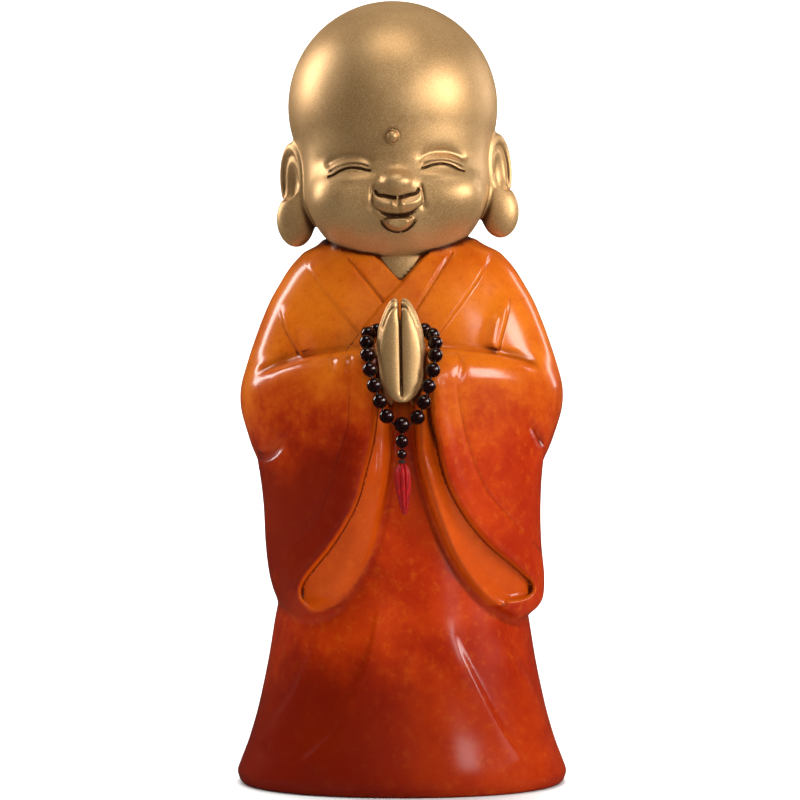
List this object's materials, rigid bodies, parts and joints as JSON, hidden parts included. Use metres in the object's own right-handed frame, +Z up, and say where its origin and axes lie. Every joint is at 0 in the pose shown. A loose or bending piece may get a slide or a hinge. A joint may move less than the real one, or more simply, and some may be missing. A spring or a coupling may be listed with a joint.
{
  "type": "baby monk statue",
  "caption": "Standing child monk in a long robe with joined hands, prayer beads and a tassel, a cast resin figurine for a shelf or table.",
  "frame": {"origin": "centre of the base, on the surface the statue stands on", "axes": "+Z up through the head, -Y to the front, the way the face and hands point, +X to the viewer's right"},
  "size_m": [0.1556, 0.1306, 0.3696],
  "materials": {
    "painted_resin": "cast resin, robe in mottled orange-brown gloss lacquer, head and hands in satin gold paint",
    "bead_gloss": "polished black with a dark red glow",
    "dark_thread": "dark cord",
    "tassel_red": "satin red with lengthwise ridges"
  },
  "bodies": {
    "root": {"bead_thread": "dark_thread", "drop_bead_lower": "bead_gloss", "drop_bead_upper": "bead_gloss", "guru_bead": "bead_gloss", "monk_figure": "painted_resin", "prayer_bead_01": "bead_gloss", "prayer_bead_02": "bead_gloss", "prayer_bead_03": "bead_gloss", "prayer_bead_04": "bead_gloss", "prayer_bead_05": "bead_gloss", "prayer_bead_06": "bead_gloss", "prayer_bead_07": "bead_gloss", "prayer_bead_08": "bead_gloss", "prayer_bead_09": "bead_gloss", "prayer_bead_10": "bead_gloss", "prayer_bead_11": "bead_gloss", "prayer_bead_12": "bead_gloss", "prayer_bead_13": "bead_gloss", "prayer_bead_14": "bead_gloss", "prayer_bead_15": "bead_gloss", "prayer_bead_16": "bead_gloss", "prayer_bead_17": "bead_gloss", "prayer_bead_18": "bead_gloss", "tassel": "tassel_red", "tassel_knot": "dark_thread", "tassel_thread": "dark_thread"}
  },
  "joints": []
}
